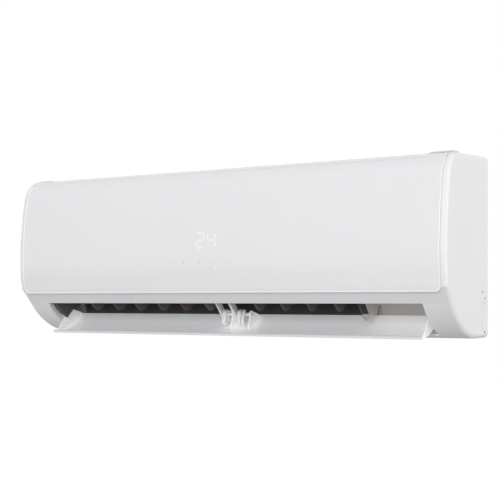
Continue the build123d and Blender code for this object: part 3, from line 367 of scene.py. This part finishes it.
painted_shade_share = add_node(chassis_tree, "ShaderNodeMath", {"operation": "SUBTRACT"},
                      input_0=past_end.outputs[0], input_1=painted_light_share.outputs[0])
# Painted shade: near black in front of the slanting line.
painted_shade_tone = add_node(chassis_tree, "ShaderNodeMix", {"data_type": "RGBA"},
                     input_0=painted_shade_share.outputs[0],
                     input_6=chassis_shader.inputs["Base Color"].links[0].from_socket,
                     input_7=linear("#262322"))
# Painted light: pale behind the line and at the walls' foot.
painted_light_tone = add_node(chassis_tree, "ShaderNodeMix", {"data_type": "RGBA"},
                      input_0=painted_light_share.outputs[0], input_6=painted_shade_tone.outputs[2],
                      input_7=linear("#CDC9C6"))
chassis_tree.links.new(painted_light_tone.outputs[2], chassis_shader.inputs["Base Color"])
dress(chassis_ps, "chassis")
pan_ps = moulded_plastic("dark polystyrene with painted shade, ribbed pan", "#3B3836", 0.6, 1.2)[0]
dress(pan_ps, "drain_pan")

# Blank walls: thin mouldings that close the outlet beside the duct, left and right, down to the
# case's bottom. They stand behind the louver's ears.


def metres(x, y, height):
    """A point from millimetres: place along the case, distance from the wall, and height."""
    return x / 1000, y / 1000, (height - 1000 * screw_height) / 1000


def loft(rings):
    """A shape with sides and ends, through rings of equally many points in metres."""
    shape = bmesh.new()
    made = [[shape.verts.new(point) for point in ring] for ring in rings]
    for inner, outer in zip(made, made[1:]):
        for place in range(len(inner)):
            after = (place + 1) % len(inner)
            shape.faces.new((inner[place], outer[place], outer[after], inner[after]))
    shape.faces.new(made[0])
    shape.faces.new(made[-1][::-1])
    return shape


def pick(piece):
    """Makes a piece the only one selected, and active."""
    bpy.ops.object.select_all(action="DESELECT")
    piece.select_set(True)
    bpy.context.view_layer.objects.active = piece


def settle(name, shape, finish, body, soften):
    """Turns a built shape into a piece on a body, with edges rounded by soften in millimetres."""
    bmesh.ops.recalc_face_normals(shape, faces=shape.faces)
    mesh = bpy.data.meshes.new(name)
    shape.to_mesh(mesh)
    shape.free()
    piece = bpy.data.objects.new(name, mesh)
    bpy.context.collection.objects.link(piece)
    if soften:
        pick(piece)
        round_off = piece.modifiers.new("rounding", "BEVEL")
        round_off.width = soften / 1000
        round_off.segments = 3
        round_off.limit_method = "ANGLE"
        bpy.ops.object.modifier_apply(modifier="rounding")
    mesh.materials.append(finish)
    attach(piece, body)
    return piece


def prism(name, profile, left, right, finish, body, soften=0.3):
    """A piece along X from a side view in millimetres: distance from the wall and height."""
    shape = loft([[metres(x, *point) for point in profile] for x in (left, right)])
    return settle(name, shape, finish, body, soften)


# One polystyrene in two tones of painted light and shade: the walls and the skirt grey with painted
# shade, the right returns pale with painted light.
shaded_blank_ps = moulded_plastic("polystyrene, blank wall, painted shade", "#A19C99", 0.55, 1.2)[0]
lit_return_ps = moulded_plastic("polystyrene, blank wall, painted light", "#C3BEBB", 0.55, 1.2)[0]
blank_wall = [(-99.5, 64.8), (-76, 50), (-71, 37), (-82.5, 8.6), (-83.5, 2.9), (-81.5, 2.9),
              (-80, 8.6), (-68.8, 37), (-74, 51.4), (-98.9, 67)]
blank_skirt = [(-82.2, 8.2), (-83.5, 2.9), (-81.5, 2.9), (-80.4, 8.2)]
return_right = [(-134, 50), (-128, 43), (-120, 35.5), (-92, 35.5), (-90, 39), (-85, 46),
                (-82.5, 49), (-76, 50.5), (-100, 65.4), (-134, 62)]
return_rear = [(-77, 30), (-77, 47), (-75, 50), (-62, 50), (-62, 20), (-78, 20)]
return_left = [(-83, 9), (-60, 9), (-55, 40), (-58, 66), (-98, 66), (-75, 50), (-70, 37)]
for blank_name, profile, left, right, finish in (
        ("blank_wall_left", blank_wall, -385, -347.9, shaded_blank_ps),
        ("blank_skirt_right", blank_skirt, 253, 385, shaded_blank_ps),
        ("blank_return_right", return_right, 250.4, 252.8, lit_return_ps),
        ("blank_return_right_rear", return_rear, 250.4, 252.8, lit_return_ps),
        ("blank_return_left", return_left, -348.2, -344.7, chassis_ps)):
    prism(blank_name, profile, left, right, finish, "chassis")

# The louver's lip: a raised rim that stiffens the blade's front edge, moulded on. Its white ABS is
# drawn greyer than the blade's, as painted shade.
shaded_lip_abs = moulded_plastic("white ABS, louver lip, painted shade", "#D2D2D2", 0.4, 0.8, edge_mm=0.4)[0]
prism("louver_lip", [(-156.6, 0.9), (-157.6, 2.6), (-157.4, 5.0), (-156.2, 5.9), (-155.0, 5.2),
                     (-154.2, 2.6)],
      -351.5, 351.5, shaded_lip_abs, "louver")

# The centre bracket: two bent arms under the outlet's roof, tied by a web, with the pin that the
# louver turns on. Round tabs and a hook on the blade snap over the pin.


def rounded(centre, radius, start, end, steps=9):
    """Side view points on an arc, in degrees from the +Y direction."""
    return [(centre[0] + radius * math.cos(math.radians(start + (end - start) * step / steps)),
             centre[1] + radius * math.sin(math.radians(start + (end - start) * step / steps)))
            for step in range(steps + 1)]


pivot = (-113, 35.6)
arm = [(-155.2, 70.4), (-147.2, 80.2), (-131.8, 64), *rounded(pivot, 6.2, 35, -145)]
web = [(-150, 74), (-147.2, 78), (-139, 70), (-142, 67)]
pin = rounded(pivot, 3, 0, 345, 23)
tab = [*rounded(pivot, 8.4, -20, 170), (-124, 22), (-119, 16.5), (-104, 23.5)]
saddle = [*rounded(pivot, 6, -30, 100), *rounded(pivot, 4, 100, -30)][::-1]
hook = [(-124, 17), (-127, 26), (-121, 41), (-118, 43.5), (-119.5, 38), (-123, 27), (-119, 17.5)]
bracket = [prism(part_name, profile, left, right, clip_pom, "chassis", soften)
           for part_name, profile, left, right, soften in (
               ("bracket_arm_left", arm, -19.4, -16.4, 0.3),
               ("bracket_arm_right", arm, 6, 10, 0.3),
               ("bracket_web", web, -16.5, 6.1, 0.3),
               ("bracket_pin", pin, -20, 38, 0))]
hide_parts("louver_bracket")
for part_name, profile, left, right, soften in (
        ("louver_tab_left", tab, -15.9, -8.5, 1.2),
        ("louver_tab_right", tab, 13, 20, 1.2),
        ("louver_tab_saddle", saddle, -9.2, 13.2, 0.4),
        ("louver_hook", hook, 24, 29, 0.8)):
    prism(part_name, profile, left, right, clip_pom, "louver", soften)

# Seal of the panel: a thin white strip in the gap round its foot and sides, sunk by half a
# millimetre. It sits on the case and follows the case's outline, which is three arcs one above the
# other: each has its upper end, its centre's distance from the wall and height, and its radius.
seal_low, seal_top, seal_steps = 79.5, 266, 30
seal_depths = (0.5, 1.8)
seal_edges = (393.05, 393.45)
seal_foot = [(-188.1, 79.05), (-186, 79.05), (-186, 79.42), (-188.1, 79.42)]
arcs = ((125, 9.6, 125, 203.6), (241, 372.7, 125, 566.7), (300, -138.5, 231.9, 44.4))


def outline_y(height):
    """Distance of the case's front from the wall at a height, in millimetres."""
    for end, centre_y, centre_height, radius in arcs:
        if height <= end:
            return centre_y - math.sqrt(radius ** 2 - (height - centre_height) ** 2)


seal_heights = [seal_low + (seal_top - seal_low) * step / seal_steps
                for step in range(seal_steps + 1)]
seal = [(outline_y(height) + seal_depths[0], height) for height in seal_heights]
seal += [(outline_y(height) + seal_depths[1], height) for height in seal_heights[::-1]]
for seal_name, profile, left, right in (
        ("panel_seal_left", seal, -seal_edges[1], -seal_edges[0]),
        ("panel_seal_right", seal, *seal_edges),
        ("panel_seal_foot", seal_foot, -393, 393)):
    prism(seal_name, profile, left, right, case_abs, "chassis", 0)

# Foot of the panel: a lip that hangs over the top of the chamfer, with rounded corners. Its face
# carries on the panel's outline, and it clears the chamfer by a tenth of a millimetre.
lip_half, lip_radius = 393, 8
lip_low, lip_top = 71.8, 88
lip_levels = (0, 0.12, 0.24, 0.36, 0.48, 0.72, 1)
lip_stand, lip_fade = 0.6, 8  # it stands out this far, and less over the last 8 mm to its top
lip_backs = ((74, 2), (77, 0.9), (79.2, -0.15), (lip_top + 1, 0.3))  # (below this, this deep)


def lip_foot(x):
    """Height of the lip's lower edge at a place along the panel."""
    into_corner = max(0, abs(x) - (lip_half - lip_radius))
    return lip_low + lip_radius - math.sqrt(lip_radius ** 2 - into_corner ** 2)


def lip_front(level):
    """Distance of the lip's face from the wall at a height."""
    return outline_y(level) - lip_stand * min(1, (lip_top - level) / lip_fade)


def lip_back(level):
    """Distance of the lip's back from the wall at a height."""
    return outline_y(level) + next(depth for end, depth in lip_backs if level < end)


lip_rings = []
corner_steps = [lip_radius * math.sin(math.radians(turn)) for turn in range(0, 91, 15)]
lip_places = [lip_half - lip_radius + step for step in corner_steps]
for x in [-place for place in lip_places[::-1]] + lip_places:
    foot = lip_foot(x)
    levels = [foot + (lip_top - foot) * share for share in lip_levels]
    ring = [(lip_front(level), level) for level in levels[::-1]]
    ring += [(lip_back(level), level) for level in levels]
    lip_rings.append([metres(x, *point) for point in ring])
settle("panel_lip", loft(lip_rings), panel_abs, "panel", 0)

# Bead: a thin raised line that runs down both sides of the panel and along its foot. Its white ABS
# is drawn brighter than the panel's, as a painted highlight.
highlit_bead_abs = moulded_plastic("white ABS, bead, painted highlight", "#FAFAFA", 0.3, 1.1)[0]
bead_radius = 1.1
bead_stand = 0.1
bead_heights = range(264, 82, -6)
bead_path = [(lip_half - bead_radius, height) for height in bead_heights]
bead_path += [(place - bead_radius, lip_foot(place)) for place in lip_places[::-1]]
bead_path += [(-place, height) for place, height in bead_path[::-1]]
bead_curve = bpy.data.curves.new("panel_bead", "CURVE")
bead_curve.dimensions = "3D"
bead_curve.bevel_depth = bead_radius / 1000
bead_curve.bevel_resolution = 3
bead_curve.use_fill_caps = True
bead_line = bead_curve.splines.new("POLY")
bead_line.points.add(len(bead_path) - 1)
for point, (x, height) in zip(bead_line.points, bead_path):
    point.co = (*metres(x, outline_y(height) - bead_stand, height), 1)
bead = bpy.data.objects.new("panel_bead", bead_curve)
bpy.context.collection.objects.link(bead)
pick(bead)
bpy.ops.object.convert(target="MESH")
bead = bpy.context.object
bead.data.materials.append(highlit_bead_abs)
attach(bead, "panel")

# End caps: low raised ridges on the case's shoulders. Each rises from the case's top between its
# first two stations, which give a place along the case and the share of the full rise there.
# Their white ABS is drawn grey: painted shade on the ridges.
shaded_cap_face = moulded_plastic("white ABS, end cap, painted shade", "#CFCECB", 0.42, 0.7, edge_mm=0.7)[0]
cap_run = 15  # the case's top rises by 1 mm in this many
ridge = [(-146.8, 275.6), (-145.6, 277.6), (-142, 278.4), (-120, 279), (-120, 277), (-144, 275.4)]
for cap_name, side, cap_drop, stations in (
        ("end_cap_left", -1, 1.0, ((362, 0.04), (370, 1), (398, 1))),
        ("end_cap_right", 1, 0, ((355, 0.04), (363.5, 1), (396, 1)))):
    cap_rings = []
    for cap_x, share in stations:
        feet = [ridge[-1][1] + (y - ridge[-1][0]) / cap_run - cap_drop for y, height in ridge]
        cap_rings.append([metres(side * cap_x, y, foot + (height - cap_drop - foot) * share)
                          for (y, height), foot in zip(ridge, feet)])
    settle(cap_name, loft(cap_rings), shaded_cap_face, "chassis", 0.4)

# The vanes, their crank and link bar: acetal, which slides well and has a low sheen. Their dark
# grey is partly their own and partly painted shade.
vane_pom = moulded_plastic("grey acetal with painted shade", "#655E5C", 0.42, 0.9, edge_mm=0.3)[0]
dress(vane_pom, "vane_link", "swing_crank", *[f"vane_{number:02d}" for number in range(1, 11)])

# The cross-flow fan: black glass-filled ABS. The short fibres near the surface give it a speckle.
fan_abs, fan_tree, fan_place, fan_shader = moulded_plastic(
    "black glass-filled ABS", "#232326", 0.5, 1.0)
fan_fibres = add_node(fan_tree, "ShaderNodeTexNoise", Vector=fan_place, Scale=900.0, Detail=1.0)
fan_speck = add_node(fan_tree, "ShaderNodeMapRange", Value=fan_fibres.outputs["Fac"],
                     From_Min=0.62, From_Max=0.72)
fan_tone = add_node(fan_tree, "ShaderNodeMix", {"data_type": "RGBA"},
                    input_0=fan_speck.outputs[0], input_6=linear("#232326"),
                    input_7=linear("#3A3A3E"))
fan_tree.links.new(fan_tone.outputs[2], fan_shader.inputs["Base Color"])
dress(fan_abs, "cross_flow_fan")

# The filters: a blue-grey polypropylene frame with a woven net. The net's holes are 1 mm apart on
# the real one, and drawn 2.4 mm apart so that they show. The holes are drawn dark: painted shade in
# place of what shows through them.
filter_pp, filter_tree, filter_place, filter_shader = moulded_plastic(
    "blue-grey polypropylene with net", "#56626F", 0.5, 1.0)
weave_pitch = 0.0024
weave_parts = add_node(filter_tree, "ShaderNodeSeparateXYZ", Vector=filter_place)
weave_waves = []
for part in ("X", "Z"):
    turns = add_node(filter_tree, "ShaderNodeMath", {"operation": "MULTIPLY"},
                     input_0=weave_parts.outputs[part], input_1=2 * math.pi / weave_pitch)
    weave_waves.append(add_node(filter_tree, "ShaderNodeMath", {"operation": "SINE"},
                                input_0=turns.outputs[0]).outputs[0])
weave = add_node(filter_tree, "ShaderNodeMath", {"operation": "MULTIPLY"},
                 input_0=weave_waves[0], input_1=weave_waves[1])
weave_share = add_node(filter_tree, "ShaderNodeMapRange", Value=weave.outputs[0], From_Min=-0.2,
                       From_Max=0.6)
weave_tone = add_node(filter_tree, "ShaderNodeMix", {"data_type": "RGBA"},
                      input_0=weave_share.outputs[0], input_6=linear("#56626F"),
                      input_7=linear("#20262C"))
filter_tree.links.new(weave_tone.outputs[2], filter_shader.inputs["Base Color"])
dress(filter_pp, "filter_left", "filter_right")

# The coil: aluminium fins across the tubes, pressed to a stack and coated. They stand 1.4 mm apart
# on the real one, and are drawn 2.8 mm apart so that they show. The gaps between them are drawn
# dark and not metallic: painted shade.
fin_pitch = 0.0028
coil_aluminium, coil_tree, coil_place, coil_shader = start_material("coated aluminium fins")
fin_parts = add_node(coil_tree, "ShaderNodeSeparateXYZ", Vector=coil_place)
fin_turns = add_node(coil_tree, "ShaderNodeMath", {"operation": "MULTIPLY"},
                     input_0=fin_parts.outputs["X"], input_1=2 * math.pi / fin_pitch)
fin_wave = add_node(coil_tree, "ShaderNodeMath", {"operation": "SINE"},
                    input_0=fin_turns.outputs[0])
fin_share = add_node(coil_tree, "ShaderNodeMapRange", Value=fin_wave.outputs[0], From_Min=-0.7,
                     From_Max=0.3)
fin_tone = add_node(coil_tree, "ShaderNodeMix", {"data_type": "RGBA"},
                    input_0=fin_share.outputs[0], input_6=linear("#39424A"),
                    input_7=linear("#BFC9CF"))
fin_bump = add_node(coil_tree, "ShaderNodeBump", Strength=0.7, Distance=0.0008,
                    Height=fin_wave.outputs[0])
coil_tree.links.new(fin_tone.outputs[2], coil_shader.inputs["Base Color"])
coil_tree.links.new(fin_share.outputs[0], coil_shader.inputs["Metallic"])
coil_tree.links.new(fin_bump.outputs[0], coil_shader.inputs["Normal"])
coil_shader.inputs["Roughness"].default_value = 0.38
dress(coil_aluminium, "coil_front_lower", "coil_front_upper", "coil_rear")

# Galvanised steel: wall plate, tube sheets and electrical box, stamped and bent from hot-dipped
# sheet. The zinc has set in crystals about 6 mm wide.
crystal = 0.006
zinc, zinc_tree, zinc_place, zinc_shader = start_material("galvanised steel, spangled")
spangle = add_node(zinc_tree, "ShaderNodeTexVoronoi", Vector=zinc_place, Scale=1 / crystal)
spangle_grey = add_node(zinc_tree, "ShaderNodeSeparateColor", Color=spangle.outputs["Color"])
zinc_tone = add_node(zinc_tree, "ShaderNodeMix", {"data_type": "RGBA"},
                     input_0=spangle_grey.outputs[0], input_6=linear("#A9ADB0"),
                     input_7=linear("#C6C9CB"))
zinc_gloss = add_node(zinc_tree, "ShaderNodeMapRange", Value=spangle_grey.outputs[1], To_Min=0.32,
                      To_Max=0.5)
zinc_tree.links.new(zinc_tone.outputs[2], zinc_shader.inputs["Base Color"])
zinc_tree.links.new(zinc_gloss.outputs[0], zinc_shader.inputs["Roughness"])
zinc_shader.inputs["Metallic"].default_value = 1.0
dress(zinc, "wall_plate", "tube_sheet_left", "tube_sheet_right", "electrical_box", "box_cover")

# Copper: return bends and both pipes, drawn tube that has dulled a little where it was handled.
copper, copper_tree, copper_place, copper_shader = start_material("drawn copper, dulled")
dull = add_node(copper_tree, "ShaderNodeTexNoise", Vector=copper_place, Scale=55.0, Detail=5.0)
dull_share = add_node(copper_tree, "ShaderNodeMapRange", Value=dull.outputs["Fac"], From_Min=0.4,
                      From_Max=0.65)
copper_tone = add_node(copper_tree, "ShaderNodeMix", {"data_type": "RGBA"},
                       input_0=dull_share.outputs[0], input_6=linear("#D98F6C"),
                       input_7=linear("#A2654A"))
copper_gloss = add_node(copper_tree, "ShaderNodeMapRange", Value=dull.outputs["Fac"], To_Min=0.2,
                        To_Max=0.48)
copper_tree.links.new(copper_tone.outputs[2], copper_shader.inputs["Base Color"])
copper_tree.links.new(copper_gloss.outputs[0], copper_shader.inputs["Roughness"])
copper_round = add_node(copper_tree, "ShaderNodeBevel", {"samples": 8}, Radius=0.0015)
copper_tree.links.new(copper_round.outputs[0], copper_shader.inputs["Normal"])
copper_shader.inputs["Metallic"].default_value = 1.0
dress(copper, "return_bends", "gas_pipe", "liquid_pipe")

# Brass and bronze: the turned flare unions, with fine tool marks, and the sintered bearing.
brass, brass_tree, brass_place, brass_shader = start_material("turned brass")
marks = add_node(brass_tree, "ShaderNodeTexWave", {"bands_direction": "X"}, Vector=brass_place,
                 Scale=320.0, Distortion=0.4)
brass_tone = add_node(brass_tree, "ShaderNodeMix", {"data_type": "RGBA"},
                      input_0=marks.outputs["Fac"], input_6=linear("#B99A55"),
                      input_7=linear("#D3B56C"))
marks_bump = add_node(brass_tree, "ShaderNodeBump", Strength=0.2, Distance=0.0001,
                      Height=marks.outputs["Fac"])
brass_tree.links.new(brass_tone.outputs[2], brass_shader.inputs["Base Color"])
brass_tree.links.new(marks_bump.outputs[0], brass_shader.inputs["Normal"])
brass_shader.inputs["Metallic"].default_value = 1.0
brass_shader.inputs["Roughness"].default_value = 0.3
dress(brass, "gas_union", "liquid_union", "fan_bearing")

# The motors: steel cans with an even zinc coat, slightly stained by handling.
can_steel, can_tree, can_place, can_shader = start_material("zinc-coated can")
stain = add_node(can_tree, "ShaderNodeTexNoise", Vector=can_place, Scale=70.0, Detail=4.0)
can_tone = add_node(can_tree, "ShaderNodeMix", {"data_type": "RGBA"}, input_0=stain.outputs["Fac"],
                    input_6=linear("#8F9294"), input_7=linear("#B9BBBC"))
can_gloss = add_node(can_tree, "ShaderNodeMapRange", Value=stain.outputs["Fac"], To_Min=0.3,
                     To_Max=0.5)
can_tree.links.new(can_tone.outputs[2], can_shader.inputs["Base Color"])
can_tree.links.new(can_gloss.outputs[0], can_shader.inputs["Roughness"])
can_shader.inputs["Metallic"].default_value = 1.0
dress(can_steel, "fan_motor", "louver_motor", "swing_motor")

# The shafts and the frame's screws: ground steel with fine scratches round them.
ground, ground_tree, ground_place, ground_shader = start_material("ground steel")
scratch = add_node(ground_tree, "ShaderNodeTexNoise", Vector=ground_place, Scale=1600.0,
                   Detail=2.0)
ground_tone = add_node(ground_tree, "ShaderNodeMix", {"data_type": "RGBA"},
                       input_0=scratch.outputs["Fac"], input_6=linear("#9B9DA0"),
                       input_7=linear("#C9CBCD"))
ground_tree.links.new(ground_tone.outputs[2], ground_shader.inputs["Base Color"])
ground_shader.inputs["Metallic"].default_value = 1.0
ground_shader.inputs["Roughness"].default_value = 0.25
dress(ground, "motor_shaft", "louver_shaft", "frame_screws")

# Rubber: the motor's rings and the drain plug, moulded and a little dusty.
rubber, rubber_tree, rubber_place, rubber_shader = moulded_plastic(
    "black rubber", "#1D1D1E", 0.72, 1.4, relief=0.1)
dust = add_node(rubber_tree, "ShaderNodeTexNoise", Vector=rubber_place, Scale=130.0, Detail=4.0)
rubber_tone = add_node(rubber_tree, "ShaderNodeMix", {"data_type": "RGBA"},
                       input_0=dust.outputs["Fac"], input_6=linear("#18181A"),
                       input_7=linear("#2C2B2B"))
rubber_tree.links.new(rubber_tone.outputs[2], rubber_shader.inputs["Base Color"])
dress(rubber, "motor_rings", "drain_plug")

# White clips: the motor's cover, the pipe clamp and the emergency button, in natural plastic.
clip_pp = moulded_plastic("natural polypropylene", "#CFCFCB", 0.4, 0.9, edge_mm=0.3)[0]
dress(clip_pp, "motor_cover", "pipe_clamp", "emergency_button")

# The boards: green solder mask over copper tracks on the control board, black on the display board.
# Their components stand out to the front: black, cream and grey housings, and pale digits.
control_front, display_front = -0.1437, -0.1872
track_tint = 1.2


def laminate(name, mask, track, front, dark, pale):
    """A board's finish: masked tracks, and housings in front of the plane at Y = front."""
    made, tree, place, shader = start_material(name)
    tracks = add_node(tree, "ShaderNodeTexBrick", {"offset": 0.5}, Vector=place, Scale=60.0,
                      Color1=linear(mask), Mortar=linear(track), Mortar_Size=0.02,
                      Color2=[part * track_tint for part in linear(mask)[:3]] + [1])
    batch = add_node(tree, "ShaderNodeTexVoronoi", Vector=place, Scale=38.0)
    batch_grey = add_node(tree, "ShaderNodeSeparateColor", Color=batch.outputs["Color"])
    component = add_node(tree, "ShaderNodeMix", {"data_type": "RGBA"},
                         input_0=batch_grey.outputs[0], input_6=linear(dark),
                         input_7=linear(pale))
    depth = add_node(tree, "ShaderNodeSeparateXYZ", Vector=place)
    stands_out = add_node(tree, "ShaderNodeMath", {"operation": "LESS_THAN"},
                          input_0=depth.outputs["Y"], input_1=front)
    tone = add_node(tree, "ShaderNodeMix", {"data_type": "RGBA"}, input_0=stands_out.outputs[0],
                    input_6=tracks.outputs["Color"], input_7=component.outputs[2])
    tree.links.new(tone.outputs[2], shader.inputs["Base Color"])
    shader.inputs["Roughness"].default_value = 0.3
    return made


dress(laminate("green solder-masked laminate", "#14472B", "#2C7A4C", control_front, "#1B1B1D",
               "#6E6A5C"), "control_board")
dress(laminate("black solder-masked laminate", "#191B1D", "#2B2F33", display_front, "#CFCFD0",
               "#E3E3E3"), "display_board")

# The terminal block and the room sensor's holder: black heat-resistant plastic.
terminal_pa = moulded_plastic("black polyamide", "#232324", 0.45, 0.9, edge_mm=0.2)[0]
dress(terminal_pa, "terminal_block", "room_sensor")
